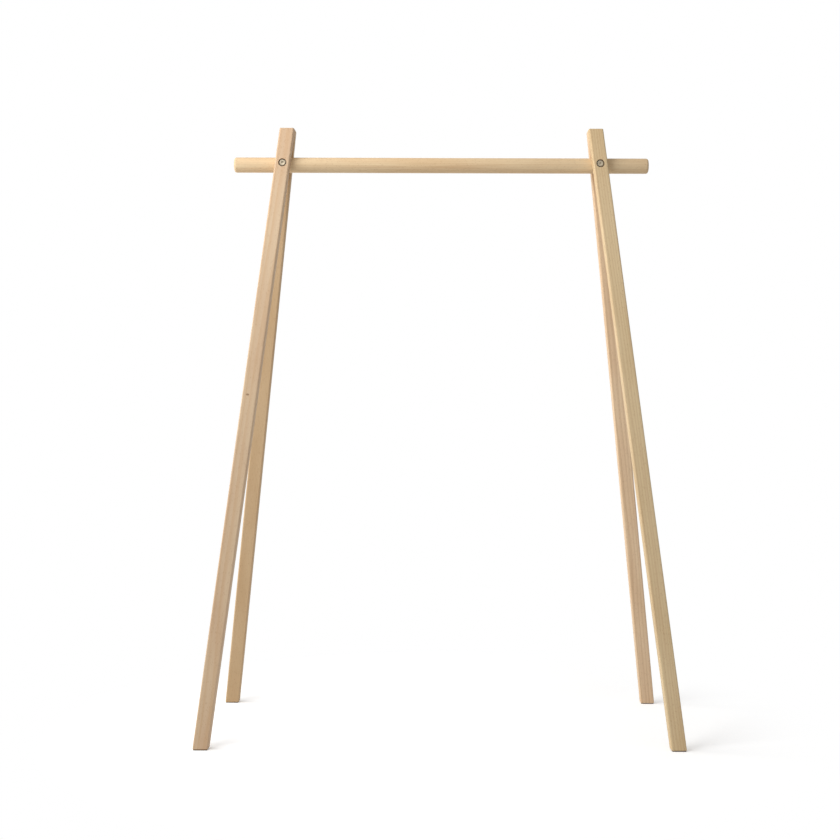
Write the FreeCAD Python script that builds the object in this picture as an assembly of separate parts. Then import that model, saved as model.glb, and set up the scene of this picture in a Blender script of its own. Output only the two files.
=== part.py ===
import FreeCAD, Part
import math
import os

# Free-standing clothes rack in millimetres. The origin is on the floor under the middle of the rail.
# X runs along the rail, the front of the rack faces -Y, and Z is up.

# Rail
rail_diameter = 38.0
rail_axis_height = 1411.0
rail_overhang = 125.0  # from a bolt axis to the end of the rail
rail_end_radius = 6.0

# Legs
joint_spacing = 794.0  # between the two bolt axes, along the rail
foot_spacing = 1120.0  # between the left and right foot centres, on the floor
leg_width = 36.0
leg_thickness = 30.0
leg_rise = 89.0  # how far the legs run on above the rail axis
leg_edge_radius = 4.0
leg_end_radius = 2.0
saddle_depth = 5.0  # depth of the round hollow that seats a leg on the rail
saddle_clearance = 0.1
ridge_gap = 0.4  # between the inner faces of a pair of legs at their tops

# Foot pads
pad_thickness = 2.0
pad_inset = 1.5
pad_corner_radius = 2.5

# Bolt, sleeve nut and washers
bolt_diameter = 8.0
bolt_length = 50.0  # under the head
bolt_tip_chamfer = 1.0
sleeve_diameter = 10.0
sleeve_length = 45.0  # under the head
thread_clearance = 0.05
thread_runout = 3.0  # bore of the sleeve beyond the bolt's tip
head_diameter = 15.0
head_height = 3.5
head_edge_radius = 0.8
head_sink = 2.5  # from the leg's face down to the head, on the bolt axis
socket_across_flats = 5.0
socket_depth = 2.5
washer_diameter = 18.0
washer_thickness = 1.5
washer_clearance = 0.2
recess_clearance = 1.25
bore_clearance = 0.25

# Sizes that follow from those above
rail_radius = rail_diameter / 2
rail_length = joint_spacing + 2 * rail_overhang
height = rail_axis_height + leg_rise
half_gap = ridge_gap / 2
seat_distance = rail_radius - saddle_depth
lean = math.asin(seat_distance / math.hypot(leg_rise, half_gap)) - math.atan2(half_gap, leg_rise)
splay_slope = (foot_spacing - joint_spacing) / 2 / rail_axis_height
splay = math.atan(splay_slope * math.cos(lean))
bore_diameter = sleeve_diameter + 2 * bore_clearance
recess_diameter = washer_diameter + 2 * recess_clearance
recess_depth = head_sink + head_height + washer_thickness
outer_face_at_bolt = (seat_distance + leg_thickness) / math.cos(lean)
recess_floor = outer_face_at_bolt - recess_depth
head_seat = recess_floor + washer_thickness
tolerance = 0.01  # for picking edges by their place

origin = FreeCAD.Vector(0, 0, 0)
along_x = FreeCAD.Vector(1, 0, 0)
along_y = FreeCAD.Vector(0, 1, 0)
along_z = FreeCAD.Vector(0, 0, 1)


def rod(diameter, start, end):
    """Round bar on the Y axis."""
    return Part.makeCylinder(diameter / 2, end - start, FreeCAD.Vector(0, start, 0), along_y)


def at_joint(shape, side, front):
    """Puts a piece made on the Y axis, head towards -Y, at the left (-1) or right (1) joint."""
    placed = shape.copy()
    if not front:
        placed.rotate(origin, along_z, 180)
    placed.translate(FreeCAD.Vector(side * joint_spacing / 2, 0, rail_axis_height))
    return placed


def rail():
    """Dowel with rounded ends and a bolt hole at each joint."""
    start = FreeCAD.Vector(-rail_length / 2, 0, rail_axis_height)
    body = Part.makeCylinder(rail_radius, rail_length, start, along_x)
    rims = [edge for edge in body.Edges if isinstance(edge.Curve, Part.Circle)]
    body = body.makeFillet(rail_end_radius, rims)
    hole = rod(bore_diameter, -rail_radius, rail_radius)
    for side in (-1, 1):
        body = body.cut(at_joint(hole, side, True))
    return body


def leaning_bar(side, front, inset, corner_radius):
    """Leg bar, thinner by the inset all round, leaning in to the ridge and running past both ends."""
    width = leg_width - 2 * inset
    thickness = leg_thickness - 2 * inset
    spare = leg_width + leg_thickness
    reach = (height + spare) / math.cos(lean) / math.cos(splay)
    corner = FreeCAD.Vector(-width / 2, -leg_thickness + inset, -reach)
    bar = Part.makeBox(width, thickness, reach + spare, corner)
    long_edges = [edge for edge in bar.Edges if edge.Length > reach]
    bar = bar.makeFillet(corner_radius, long_edges)
    facing = -1 if front else 1
    if not front:
        bar.translate(FreeCAD.Vector(0, leg_thickness, 0))
    bar.rotate(origin, along_y, -side * math.degrees(splay))
    bar.rotate(origin, along_x, facing * math.degrees(lean))
    ridge_x = side * (joint_spacing / 2 - leg_rise * splay_slope)
    bar.translate(FreeCAD.Vector(ridge_x, facing * half_gap, height))
    return bar


def between_levels(bar, low, high):
    """The stretch of a leaning bar between two horizontal cuts."""
    room = 2 * (foot_spacing + height)
    slab = Part.makeBox(room, room, high - low, FreeCAD.Vector(-room / 2, -room / 2, low))
    return bar.common(slab)


def level_edges(shape, level):
    """Edges that lie in the horizontal cut at this level."""
    return [edge for edge in shape.Edges if all(abs(end.Z - level) < tolerance for end in edge.Vertexes)]


def leg(side, front):
    """Square leg cut level at both ends, with its saddle, bolt hole and recess for the head."""
    body = between_levels(leaning_bar(side, front, 0, leg_edge_radius), pad_thickness, height)
    ends = level_edges(body, pad_thickness) + level_edges(body, height)
    body = body.makeFillet(leg_end_radius, ends)
    saddle_start = FreeCAD.Vector(-rail_length, 0, rail_axis_height)
    saddle = Part.makeCylinder(rail_radius + saddle_clearance, 2 * rail_length, saddle_start, along_x)
    hole = rod(bore_diameter, -outer_face_at_bolt, 0)
    recess = rod(recess_diameter, -outer_face_at_bolt - leg_thickness, -recess_floor)
    for tool in (saddle, at_joint(hole, side, front), at_joint(recess, side, front)):
        body = body.cut(tool)
    return body


def headed_shank(diameter, length):
    """Round head with a softened edge and a hex socket, on a plain shank along +Y."""
    head_top = -head_seat - head_height
    head = rod(head_diameter, head_top, -head_seat)
    outer_rim = [edge for edge in head.Edges if abs(edge.BoundBox.YMax - head_top) < tolerance]
    head = head.makeFillet(head_edge_radius, outer_rim)
    corner = FreeCAD.Vector(socket_across_flats / math.sqrt(3), head_top, 0)
    hexagon = [FreeCAD.Rotation(along_y, 60 * step).multVec(corner) for step in range(7)]
    socket = Part.Face(Part.makePolygon(hexagon)).extrude(along_y * socket_depth)
    return head.fuse(rod(diameter, -head_seat, -head_seat + length)).cut(socket)


def bolt():
    """Connector bolt, from the front. The thread is a plain cylinder of its outside diameter."""
    body = headed_shank(bolt_diameter, bolt_length)
    tip = -head_seat + bolt_length
    tip_rim = [edge for edge in body.Edges if abs(edge.BoundBox.YMin - tip) < tolerance]
    return body.makeChamfer(bolt_tip_chamfer, tip_rim)


def sleeve_nut():
    """Sleeve nut with the same head, bored from its open end for the bolt."""
    body = headed_shank(sleeve_diameter, sleeve_length)
    bolt_tip = head_seat - bolt_length
    bore = rod(bolt_diameter + 2 * thread_clearance, bolt_tip - thread_runout, -head_seat + sleeve_length)
    return body.cut(bore)


def washer(shank):
    """Flat washer on the floor of the recess."""
    disc = rod(washer_diameter, -head_seat, -recess_floor)
    return disc.cut(rod(shank + 2 * washer_clearance, -head_seat, -recess_floor))


def foot_pad(side, front):
    """Thin felt pad, a little smaller than the foot that it is stuck to."""
    return between_levels(leaning_bar(side, front, pad_inset, pad_corner_radius), 0, pad_thickness)


def save(shape, node):
    shape.exportStep(os.path.join("parts", node + ".step"))


os.makedirs("parts", exist_ok=True)
save(rail(), "rail")
for side, side_name in ((-1, "left"), (1, "right")):
    for front, row_name in ((True, "front"), (False, "back")):
        save(leg(side, front), f"{row_name}_{side_name}_leg")
        save(foot_pad(side, front), f"{row_name}_{side_name}_foot_pad")
    save(at_joint(bolt(), side, True), f"{side_name}_bolt")
    save(at_joint(washer(bolt_diameter), side, True), f"{side_name}_front_washer")
    save(at_joint(sleeve_nut(), side, False), f"{side_name}_sleeve_nut")
    save(at_joint(washer(sleeve_diameter), side, False), f"{side_name}_back_washer")
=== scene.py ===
import math

import bmesh
import bpy
from mathutils import Color, Matrix, Vector, noise


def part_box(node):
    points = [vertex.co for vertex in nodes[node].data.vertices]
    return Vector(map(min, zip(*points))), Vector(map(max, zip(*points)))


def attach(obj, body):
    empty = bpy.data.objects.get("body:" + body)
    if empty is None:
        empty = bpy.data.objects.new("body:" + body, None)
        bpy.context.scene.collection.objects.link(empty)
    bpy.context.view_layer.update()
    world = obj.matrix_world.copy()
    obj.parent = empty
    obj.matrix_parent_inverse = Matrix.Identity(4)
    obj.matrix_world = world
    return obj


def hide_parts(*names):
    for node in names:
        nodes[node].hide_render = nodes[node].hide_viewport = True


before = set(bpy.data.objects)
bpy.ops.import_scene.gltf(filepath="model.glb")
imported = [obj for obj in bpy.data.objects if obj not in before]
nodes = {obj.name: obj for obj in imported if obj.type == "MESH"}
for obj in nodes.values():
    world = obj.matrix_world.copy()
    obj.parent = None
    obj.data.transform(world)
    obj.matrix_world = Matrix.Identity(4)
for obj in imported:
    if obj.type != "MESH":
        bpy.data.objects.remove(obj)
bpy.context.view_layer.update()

# Rail: a turned beech dowel that carries the hangers, with softly rounded ends that stand out past the legs.
# It is sanded along the grain and oiled, so it has a low sheen, and it lies in the saddles of the four legs.
ring_width = 0.0034
ring_sway = 0.016  # how far the growth rings wander along the grain
knot_core = 0.0012
knot_edge = 0.0034
knot_raggedness = 0.002
grain_relief = 0.00025


class Signal:
    """The value of a socket in a node tree. Arithmetic on signals adds Math nodes."""

    # A Mix node has sockets for each type of value. These are the places of those for colours.
    mix_factor, mix_first, mix_second, mix_result = 0, 6, 7, 2

    def __init__(self, socket):
        self.socket = socket

    def node(self, kind, sockets=None, output=0, **settings):
        """Adds a node: its settings first, then values or signals for its sockets. Returns one output."""
        tree = self.socket.id_data
        added = tree.nodes.new("ShaderNode" + kind)
        for name, value in settings.items():
            setattr(added, name, value)
        for name, value in (sockets or {}).items():
            if isinstance(value, Signal):
                tree.links.new(value.socket, added.inputs[name])
            else:
                added.inputs[name].default_value = value
        return Signal(added.outputs[output])

    def output(self, name):
        """Another output of the same node."""
        return Signal(self.socket.node.outputs[name])

    def maths(self, operation, *operands):
        return self.node("Math", dict(enumerate(operands)), operation=operation)

    def __add__(self, other):
        return self.maths("ADD", self, other)

    def __sub__(self, other):
        return self.maths("SUBTRACT", self, other)

    def __rsub__(self, other):
        return self.maths("SUBTRACT", other, self)

    def __mul__(self, other):
        return self.maths("MULTIPLY", self, other)

    def __truediv__(self, other):
        return self.maths("DIVIDE", self, other)

    def __pow__(self, other):
        return self.maths("POWER", self, other)

    def __abs__(self):
        return self.maths("ABSOLUTE", self)

    __radd__ = __add__
    __rmul__ = __mul__

    def rising(self, low, high):
        """0 below low, 1 above high, and a smooth slope between them."""
        limits = {"Value": self, "From Min": low, "From Max": high}
        return self.node("MapRange", limits, interpolation_type="SMOOTHSTEP")

    def mix(self, first, second):
        """The first colour where this signal is 0, the second where it is 1."""
        sockets = {self.mix_factor: self, self.mix_first: first, self.mix_second: second}
        return self.node("Mix", sockets, self.mix_result, data_type="RGBA")

    def vector(self, operation, other, output=0):
        return self.node("VectorMath", {0: self, 1: other}, output, operation=operation)

    def length(self):
        return self.node("VectorMath", {0: self}, "Value", operation="LENGTH")

    def part(self, axis):
        return self.node("SeparateXYZ", {"Vector": self}, axis)

    def cloud(self, frequency, detail, roughness=0.5, output=0):
        """Noise at this place, with its own frequency along each axis."""
        sockets = {"Vector": self.vector("MULTIPLY", frequency), "Scale": 1.0,
                   "Detail": detail, "Roughness": roughness}
        return self.node("TexNoise", sockets, output)


def paint(red, green, blue):
    """A screen colour, 0 to 255, as the linear colour that a shader takes."""
    screen = Color((red / 255, green / 255, blue / 255))
    return (*screen.from_srgb_to_scene_linear(), 1.0)


def new_material(name):
    """An empty material and its object coordinates."""
    material = bpy.data.materials.new(name)
    material.use_nodes = True
    material.node_tree.nodes.clear()
    coordinates = material.node_tree.nodes.new("ShaderNodeTexCoord")
    return material, Signal(coordinates.outputs["Object"])


def surface(shader):
    """Makes a shader the surface of its material or world."""
    tree = shader.socket.id_data
    owner = "World" if shader.socket.node.type == "BACKGROUND" else "Material"
    tree.links.new(shader.socket, tree.nodes.new("ShaderNodeOutput" + owner).inputs["Surface"])


def oiled_beech(name, place, turn, pale, warm, pith, knot=None):
    """Beech with its grain along the Z axis of a frame at this place and turn, and its pith off the piece."""
    material, point = new_material(name)
    normal = point.output("Normal")
    local = point.node("Mapping", {"Vector": point, "Location": place, "Rotation": turn},
                       vector_type="TEXTURE")
    facing = normal.node("VectorRotate", {"Vector": normal, "Rotation": turn},
                         rotation_type="EULER_XYZ", invert=True)
    end_grain = abs(facing.part("Z")).rising(0.72, 0.93)

    # Growth rings, wide and faint
    from_pith = local.vector("MULTIPLY", (1, 1, 0)).vector("SUBTRACT", (*pith, 0))
    radius = from_pith.length() + ring_sway * local.cloud((7, 7, 1.1), 2.0)
    rings = radius / ring_width
    ring = rings.maths("FRACT", rings)
    late_wood = ring.rising(0.25, 0.93) * (1 - ring.rising(0.93, 1.0))

    # Long fibres and streaks, short dark ray flecks and a slow drift of the tone
    fibre = local.cloud((900, 900, 11), 3.0, 0.65)
    streak = local.cloud((160, 160, 3), 2.0)
    drift = local.cloud((16, 16, 3.5), 3.0)
    stretched = local.vector("MULTIPLY", (620, 620, 120))
    cells = local.node("TexVoronoi", {"Vector": stretched, "Scale": 1.0}, "Distance")
    chosen = cells.node("SeparateColor", {"Color": cells.output("Color")}).rising(0.45, 0.5)
    fleck = (1 - cells.rising(0.16, 0.3)) * chosen

    colour = drift.rising(0.32, 0.68).mix(pale, warm)
    colour = (0.32 * late_wood).mix(colour, paint(198, 160, 120))
    colour = (0.22 * streak.rising(0.4, 0.72)).mix(colour, paint(200, 164, 126))
    colour = (0.2 * fibre.rising(0.45, 0.75)).mix(colour, paint(188, 148, 108))
    colour = (0.42 * fleck).mix(colour, paint(158, 112, 74))
    colour = (0.5 * end_grain).mix(colour, paint(190, 150, 108))
    if knot:
        off_knot = local.vector("SUBTRACT", knot).vector("MULTIPLY", (0.6, 1, 1))
        reach = off_knot.length() + knot_raggedness * (fibre - 0.5)
        colour = (0.7 * (1 - reach.rising(knot_core, knot_edge))).mix(colour, paint(122, 84, 56))
    relief = 0.5 * fibre + 0.25 * late_wood - 0.7 * fleck
    bump = relief.node("Bump", {"Height": relief, "Strength": 0.35, "Distance": grain_relief})
    surface(colour.node("BsdfPrincipled", {
        "Base Color": colour, "Roughness": 0.5 + 0.16 * fibre + 0.14 * end_grain, "Normal": bump,
        "Specular IOR Level": 0.15}))
    return material


rail_low, rail_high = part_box("rail")
rail_centre = (rail_low + rail_high) / 2
along_rail = Matrix.Rotation(math.radians(90), 3, "Y").to_euler()
rail_pith = (0.011, -0.034)
nodes["rail"].material_slots[0].material = oiled_beech(
    "rail_beech", rail_centre, along_rail, paint(229, 205, 167), paint(221, 192, 152), rail_pith)

# Legs: four square beech bars with rounded edges, cut level at both ends. Each pair leans together above the
# rail and splays outwards below it. They are planed, sanded and oiled like the rail.
leg_width = 0.036
leg_thickness = 0.030
knot_drop = 0.686  # along the front left leg from its top to the pip knot in its front face
knot_offset = -0.0045  # from the middle of that face
# Partly each leg's own tone and partly painted light: the right-hand legs are painted paler for the light
# that falls more on that side.
leg_tones_and_painted_light = {  # the pale and the warm tone of each leg, and where its pith lies
    "front_left": (paint(213, 188, 157), paint(205, 175, 144), (0.02, 0.07)),
    "front_right": (paint(229, 206, 165), paint(220, 194, 151), (-0.05, 0.05)),
    "back_left": (paint(211, 183, 145), paint(202, 171, 131), (0.06, -0.04)),
    "back_right": (paint(242, 214, 179), paint(234, 202, 166), (-0.03, -0.07)),
}
for leg, (pale, warm, pith) in leg_tones_and_painted_light.items():
    low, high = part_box(f"{leg}_leg")
    side = -1 if "left" in leg else 1
    facing = -1 if "front" in leg else 1
    rise = high.z - low.z
    lean = math.atan2(high.y - low.y - leg_thickness, rise)
    splay = math.atan2(high.x - low.x - leg_width, rise) * math.cos(lean)
    turn = Matrix.Rotation(facing * lean, 3, "X") @ Matrix.Rotation(-side * splay, 3, "Y")
    inner_x = high.x if side < 0 else low.x
    inner_y = high.y if facing < 0 else low.y
    top = Vector((inner_x + side * leg_width / 2, inner_y, high.z))
    knot = (knot_offset, -leg_thickness, -knot_drop) if leg == "front_left" else None
    nodes[f"{leg}_leg"].material_slots[0].material = oiled_beech(
        f"{leg}_beech", top, turn.to_euler(), pale, warm, pith, knot)

# Bolts: zinc-plated furniture bolts, cold headed with a hex socket and rolled with a right-hand thread. Each
# goes in from the front, sinks its head in the leg's recess and screws into its sleeve nut inside the rail.
head_radius = 0.0075
head_height = 0.0035
head_edge = 0.0008
edge_steps = 5
socket_sides = 6
socket_corner = 0.005 / math.sqrt(3)  # 5 mm across the flats
socket_depth = 0.0025
socket_chamfer = 0.0003
drill_point = 0.0004
shank_radius = 0.004
plain_neck = 0.004
tip_chamfer = 0.001
thread_pitch = 0.00125
thread_crest = 0.00396
thread_root = 0.00332
root_flat = 0.25  # this and the next three in pitches
crest_flat = 0.125
early_start = 1.5
spare_turns = 2
facets = 48
crease = math.radians(32)
near = 1e-6  # points closer than this are the same
cut_slack = 1e-7
lathe_relief = 0.00004
# The grey of the zinc plating, warmed to beige as a painted reflection of the beech around the heads.
zinc_and_painted_reflection = (paint(184, 172, 150), paint(160, 148, 127))


def zinc_plate(name, place, bright, dull):
    """Zinc-plated steel, turned about the Y axis through this place: fine lathe rings, cloudy plating."""
    material, point = new_material(name)
    local = point.vector("SUBTRACT", place)
    from_axis = local.vector("MULTIPLY", (1, 0, 1)).length()
    lathe = from_axis.node("TexNoise", {"W": from_axis * 5200, "Scale": 1.0, "Detail": 2.0},
                           noise_dimensions="1D")
    cloud = local.cloud((420, 420, 420), 3.0)
    scuff = local.cloud((2600, 700, 500), 2.0).rising(0.56, 0.7)
    colour = cloud.rising(0.35, 0.65).mix(bright, dull)
    colour = (0.25 * lathe.rising(0.5, 0.75)).mix(colour, paint(122, 114, 102))
    colour = (0.3 * scuff).mix(colour, paint(206, 198, 182))
    relief = lathe - 0.5 * scuff
    bump = relief.node("Bump", {"Height": relief, "Strength": 0.3, "Distance": lathe_relief})
    surface(colour.node("BsdfPrincipled", {
        "Base Color": colour, "Metallic": 0.85, "Roughness": 0.42 + 0.14 * cloud + 0.1 * scuff,
        "Normal": bump}))
    return material


def new_piece(name, shape, material):
    """A finished piece of the rack from a bmesh, smooth except along its sharp edges."""
    mesh = bpy.data.meshes.new(name)
    bmesh.ops.recalc_face_normals(shape, faces=shape.faces)
    for face in shape.faces:
        face.smooth = True
    shape.to_mesh(mesh)
    shape.free()
    mesh.set_sharp_from_angle(angle=crease)
    mesh.materials.append(material)
    piece = bpy.data.objects.new(name, mesh)
    bpy.context.scene.collection.objects.link(piece)
    return piece


def chain(shape, outline):
    """An open run of edges through points of the half section, given as radius and depth."""
    verts = [shape.verts.new((radius, depth, 0)) for radius, depth in outline]
    edges = [shape.edges.new(pair) for pair in zip(verts, verts[1:])]
    return verts + edges


def rim(shape, radius, depth):
    """The open edges at this depth that lie within this radius of the axis."""
    def on_rim(vert):
        return abs(vert.co.y - depth) < near and math.hypot(vert.co.x, vert.co.z) < radius + near

    return [edge for edge in shape.edges if len(edge.link_faces) < 2 and all(map(on_rim, edge.verts))]


low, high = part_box("left_bolt")
bolt_length = high.y - low.y
thread_start = head_height + plain_neck

# Threaded shank: one pitch of the thread swept along its helix, then cut level at both ends
bolt_shape = bmesh.new()
pitch_outline = [(thread_root, -root_flat / 2), (thread_root, root_flat / 2),
                 (thread_crest, (1 - crest_flat) / 2), (thread_crest, (1 + crest_flat) / 2),
                 (thread_root, 1 - root_flat / 2)]
turns = math.ceil((bolt_length - thread_start) / thread_pitch) + spare_turns
run = chain(bolt_shape, [(radius, thread_start + (step - early_start) * thread_pitch)
                         for radius, step in pitch_outline])
bmesh.ops.spin(bolt_shape, geom=run, cent=(0, 0, 0), axis=(0, 1, 0), dvec=(0, thread_pitch / facets, 0),
               angle=2 * math.pi * turns, steps=facets * turns)
bmesh.ops.remove_doubles(bolt_shape, verts=bolt_shape.verts, dist=near)
for depth, inner in ((thread_start, True), (bolt_length, False)):
    everything = bolt_shape.verts[:] + bolt_shape.edges[:] + bolt_shape.faces[:]
    bmesh.ops.bisect_plane(bolt_shape, geom=everything, dist=cut_slack, plane_co=(0, depth, 0),
                           plane_no=(0, 1, 0), clear_inner=inner, clear_outer=not inner)
for vert in bolt_shape.verts:
    cone = shank_radius - max(0, vert.co.y - bolt_length + tip_chamfer)
    shrink = min(1, cone / math.hypot(vert.co.x, vert.co.z))
    vert.co = (vert.co.x * shrink, vert.co.y, vert.co.z * shrink)
bmesh.ops.triangle_fill(bolt_shape, edges=rim(bolt_shape, shank_radius, bolt_length), use_beauty=True)

# Head and plain neck, turned
edge_angles = [math.radians(90) * step / edge_steps for step in range(edge_steps + 1)]
edge_arc = [(head_radius - head_edge * (1 - math.sin(angle)), head_edge * (1 - math.cos(angle)))
            for angle in edge_angles]
run = chain(bolt_shape, [(socket_corner + socket_chamfer, 0), *edge_arc, (head_radius, head_height),
                         (shank_radius, head_height), (shank_radius, thread_start)])
bmesh.ops.spin(bolt_shape, geom=run, cent=(0, 0, 0), axis=(0, 1, 0), angle=2 * math.pi, steps=facets,
               use_merge=True)
bmesh.ops.triangle_fill(bolt_shape, edges=rim(bolt_shape, shank_radius, thread_start), use_beauty=True)

# Hex socket with a chamfered mouth and a shallow drill point
across = Matrix.Translation((0, socket_chamfer, 0)) @ Matrix.Rotation(math.radians(90), 4, "X")
hexagon = bmesh.ops.create_circle(bolt_shape, segments=socket_sides, radius=socket_corner,
                                  matrix=across)["verts"]
mouth = list({edge for vert in hexagon for edge in vert.link_edges})
bmesh.ops.subdivide_edges(bolt_shape, edges=mouth, cuts=facets // socket_sides - 1)
mouth = rim(bolt_shape, socket_corner, socket_chamfer)
bmesh.ops.bridge_loops(bolt_shape, edges=mouth + rim(bolt_shape, socket_corner + socket_chamfer, 0))
walls = bmesh.ops.extrude_edge_only(bolt_shape, edges=mouth)["geom"]
bottom = [item for item in walls if isinstance(item, bmesh.types.BMVert)]
bmesh.ops.translate(bolt_shape, verts=bottom, vec=(0, socket_depth - socket_chamfer, 0))
bottom_rim = rim(bolt_shape, socket_corner, socket_depth)
socket_floor = bmesh.ops.contextual_create(bolt_shape, geom=bottom_rim)["faces"]
for centre in bmesh.ops.poke(bolt_shape, faces=socket_floor)["verts"]:
    centre.co.y += drill_point

for side in ("left", "right"):
    low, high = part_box(f"{side}_bolt")
    head_face = Vector(((low.x + high.x) / 2, low.y, (low.z + high.z) / 2))
    shape = bolt_shape.copy()
    bmesh.ops.translate(shape, verts=shape.verts, vec=head_face)
    steel = zinc_plate(f"{side}_bolt_zinc", head_face, *zinc_and_painted_reflection)
    bolt = new_piece(f"{side}_bolt_turned", shape, steel)
    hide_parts(f"{side}_bolt")
    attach(bolt, f"{side}_bolt")
bolt_shape.free()

# Washers and sleeve nuts: zinc-plated steel like the bolts. The stamped washers lie on the floors of the
# recesses and are painted darker, as painted shade of the recesses; the nuts come in from the back legs with
# the same socket heads.
# Painted shade: the washers' tones are darkened for the shade in the recesses around the bolt heads.
recess_shaded_zinc = (paint(122, 116, 106), paint(100, 94, 84))
zinc_tones = {"front_washer": recess_shaded_zinc, "back_washer": recess_shaded_zinc, "sleeve_nut": zinc_and_painted_reflection}
for side in ("left", "right"):
    for piece, tones in zinc_tones.items():
        low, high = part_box(f"{side}_{piece}")
        steel = zinc_plate(f"{side}_{piece}_zinc", (low + high) / 2, *tones)
        nodes[f"{side}_{piece}"].material_slots[0].material = steel

# Foot pads: pressed wool felt, stamped a little smaller than the foot and stuck under it to spare the floor.
# The weight of the rack presses them, so their cut sides bulge softly between the foot and the floor.
felt_rim = 0.0005
felt_rim_steps = 3
felt_step = 0.0015  # longest edge of the felt's mesh
felt_halvings = 4  # enough to bring the longest side down to that step, or near it
felt_unevenness = 0.00012
felt_relief = 0.0002
fibre_bend = 0.0012
flat = math.radians(1)  # faces that meet at less than this are one
level = 1e-5  # heights closer than this are the same


def pressed_felt(name, place):
    """Brown wool felt: matted fibres that lie every way, flecks of lighter wool and a soft bloom."""
    material, point = new_material(name)
    local = point.vector("SUBTRACT", place)
    warp = local.cloud((900, 900, 900), 2.0, output="Color")
    bent = local.vector("ADD", warp.vector("MULTIPLY", (fibre_bend, fibre_bend, fibre_bend)))
    fibre = bent.cloud((5200, 1500, 2600), 4.0, 0.7)
    clump = local.cloud((260, 260, 260), 3.0)
    colour = clump.rising(0.35, 0.65).mix(paint(104, 86, 68), paint(84, 68, 53))
    colour = (0.6 * fibre.rising(0.5, 0.72)).mix(colour, paint(138, 120, 100))
    relief = fibre + 0.6 * clump
    bump = relief.node("Bump", {"Height": relief, "Strength": 0.8, "Distance": felt_relief})
    surface(colour.node("BsdfPrincipled", {
        "Base Color": colour, "Roughness": 0.95, "Normal": bump, "Specular IOR Level": 0.2,
        "Sheen Weight": 0.4, "Sheen Roughness": 0.5, "Sheen Tint": paint(200, 185, 165)}))
    return material


for leg in leg_tones_and_painted_light:
    low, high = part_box(f"{leg}_foot_pad")
    shape = bmesh.new()
    shape.from_mesh(nodes[f"{leg}_foot_pad"].data)
    bmesh.ops.remove_doubles(shape, verts=shape.verts, dist=near)
    bmesh.ops.dissolve_limit(shape, angle_limit=flat, verts=shape.verts, edges=shape.edges)
    rims = [edge for edge in shape.edges if abs(edge.verts[0].co.z - edge.verts[1].co.z) < level]
    bmesh.ops.bevel(shape, geom=rims, offset=felt_rim, offset_type="OFFSET", affect="EDGES",
                    segments=felt_rim_steps, profile=0.5, material=-1)
    for _ in range(felt_halvings):
        long_edges = [edge for edge in shape.edges if edge.calc_length() > felt_step]
        bmesh.ops.subdivide_edges(shape, edges=long_edges, cuts=1)
    for vert in shape.verts:
        if low.z + level < vert.co.z < high.z - level:
            shift = noise.noise_vector(vert.co / felt_step) * felt_unevenness
            vert.co += Vector((shift.x, shift.y, 0))
    bmesh.ops.triangulate(shape, faces=[face for face in shape.faces if len(face.verts) > 4])
    pad = new_piece(f"{leg}_felt", shape, pressed_felt(f"{leg}_wool", (low + high) / 2))
    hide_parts(f"{leg}_foot_pad")
    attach(pad, "rack")

# Floor and light: a white sweep under three soft boxes, one near on the front left, one low on the left and
# one above. The floor is white to the eye wherever the light is open, so it shows only what the rack takes
# from the light: its shadow.
floor_reach = 30
foot_reach = 0.6  # from the middle of the rack to the outer sides of the feet
spare_light_left = 0.25  # share of the light that the floor can lose and still look white, at the left feet
spare_light_right = 0.06  # and at the right feet, which are farther from the key
shadow_reach = (0.65, 1.0)  # from the middle of the rack, where the shadow starts to fade and where it ends
white = (1, 1, 1, 1)
black = (0, 0, 0, 1)
ambient = 0.4  # what the room around gives, beside the soft boxes
aim = Vector((0, 0, 1))
soft_boxes = {  # place, size and watts
    "key": (Vector((-1.2, -1.1, 2.3)), 1.3, 26),
    "side": (Vector((-3.4, 0.3, 1.1)), 2.2, 68),
    "top": (Vector((-0.4, -0.8, 2.4)), 1.4, 4),
}
for name, (place, size, watts) in soft_boxes.items():
    lamp = bpy.data.lights.new(name, "AREA")
    lamp.energy = watts
    lamp.size = size
    holder = bpy.data.objects.new(name, lamp)
    holder.location = place
    holder.rotation_euler = (aim - place).to_track_quat("-Z", "Y").to_euler()
    bpy.context.scene.collection.objects.link(holder)


def seen_directly(tree):
    """1 where the eye, a gloss or a glass looks at the white, and 0 where it only throws light."""
    camera_ray = Signal(tree.nodes.new("ShaderNodeLightPath").outputs["Is Camera Ray"])
    seen = camera_ray.maths("MAXIMUM", camera_ray, camera_ray.output("Is Glossy Ray"))
    return seen.maths("MAXIMUM", seen, camera_ray.output("Is Transmission Ray"))


floor_mesh = bpy.data.meshes.new("floor")
floor = bpy.data.objects.new("floor", floor_mesh)
bpy.context.scene.collection.objects.link(floor)
sweep = bmesh.new()
bmesh.ops.create_grid(sweep, x_segments=1, y_segments=1, size=floor_reach)
sweep.to_mesh(floor_mesh)
sweep.free()

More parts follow.
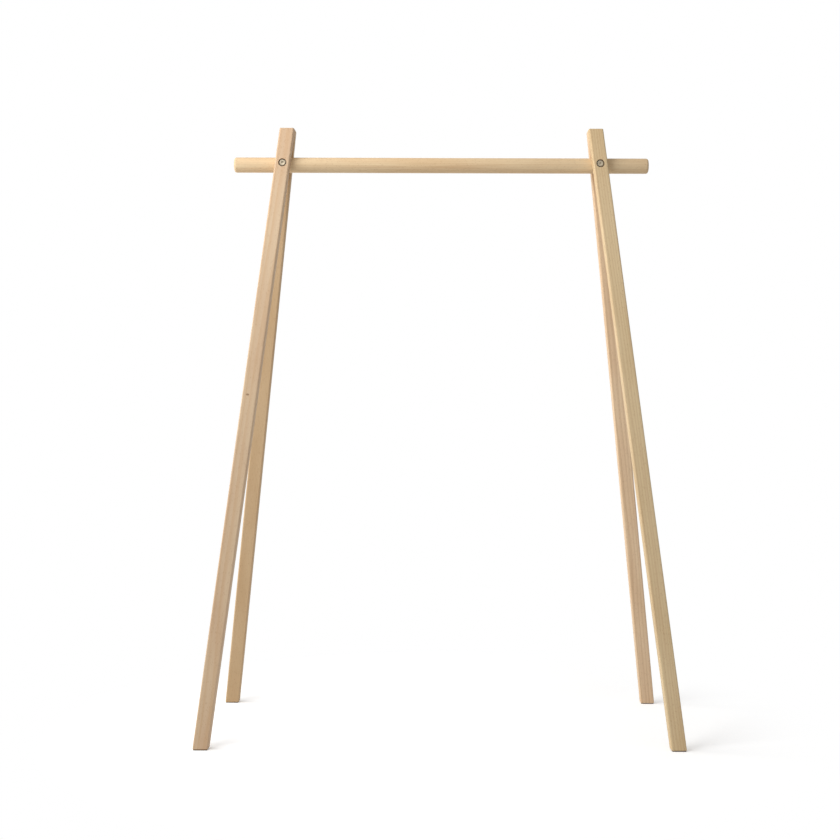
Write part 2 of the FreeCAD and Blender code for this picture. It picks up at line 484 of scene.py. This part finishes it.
# What the soft boxes and the room give the open floor, each box taken as a point
floor_white, point = new_material("floor_white")
open_light = ambient
for place, _, watts in soft_boxes.values():
    ray = point.vector("SUBTRACT", place)
    facing = ray.vector("DOT_PRODUCT", (aim - place).normalized(), "Value")
    open_light = open_light + watts * place.z / math.pi ** 2 * facing / ray.length() ** 4

# The eye sees the light that falls on the floor, and a glow that makes up what the open light lacks of white
catch = 1 - point.length().rising(*shadow_reach)
to_right = point.part("X").rising(-foot_reach, foot_reach)
spare_light = spare_light_left + (spare_light_right - spare_light_left) * to_right
matt = point.node("BsdfDiffuse", {"Color": catch.mix(black, white)})
lacking = (catch * (1 - spare_light) * open_light).mix(white, black)
glow = point.node("Emission", {"Color": lacking, "Strength": 1.0})
look = point.node("AddShader", {0: matt, 1: glow})
bounce = point.node("BsdfDiffuse", {"Color": paint(246, 246, 246)})
surface(point.node("MixShader", {0: seen_directly(floor_white.node_tree), 1: bounce, 2: look}))
floor_mesh.materials.append(floor_white)

studio = bpy.data.worlds.new("studio")
studio.use_nodes = True
studio.node_tree.nodes.clear()
bpy.context.scene.world = studio
dim = (ambient, ambient, ambient, 1)
room = seen_directly(studio.node_tree).mix(dim, white)
surface(room.node("Background", {"Color": room, "Strength": 1.0}))

# Camera: level, in front of the middle of the rail and a little over half its height. Its place and focal
# length were solved from the feet, the rail and the leg tops in the photo, which is cropped off centre.
camera_distance = 3.526
camera_height = 0.8395
camera_roll = 0.00287
focal_pixels = 1395.9
image_pixels = 840
middle_x = 440.7  # where the camera's axis meets the picture
middle_y = 391.9
lens = bpy.data.cameras.new("camera")
lens.lens = focal_pixels * lens.sensor_width / image_pixels
lens.shift_x = 0.5 - middle_x / image_pixels
lens.shift_y = middle_y / image_pixels - 0.5
camera = bpy.data.objects.new("camera", lens)
camera.location = (0.0, -camera_distance, camera_height)
camera.rotation_euler = (math.radians(90), -camera_roll, 0)
bpy.context.scene.collection.objects.link(camera)
bpy.context.scene.camera = camera
bpy.context.scene.view_settings.view_transform = "Standard"
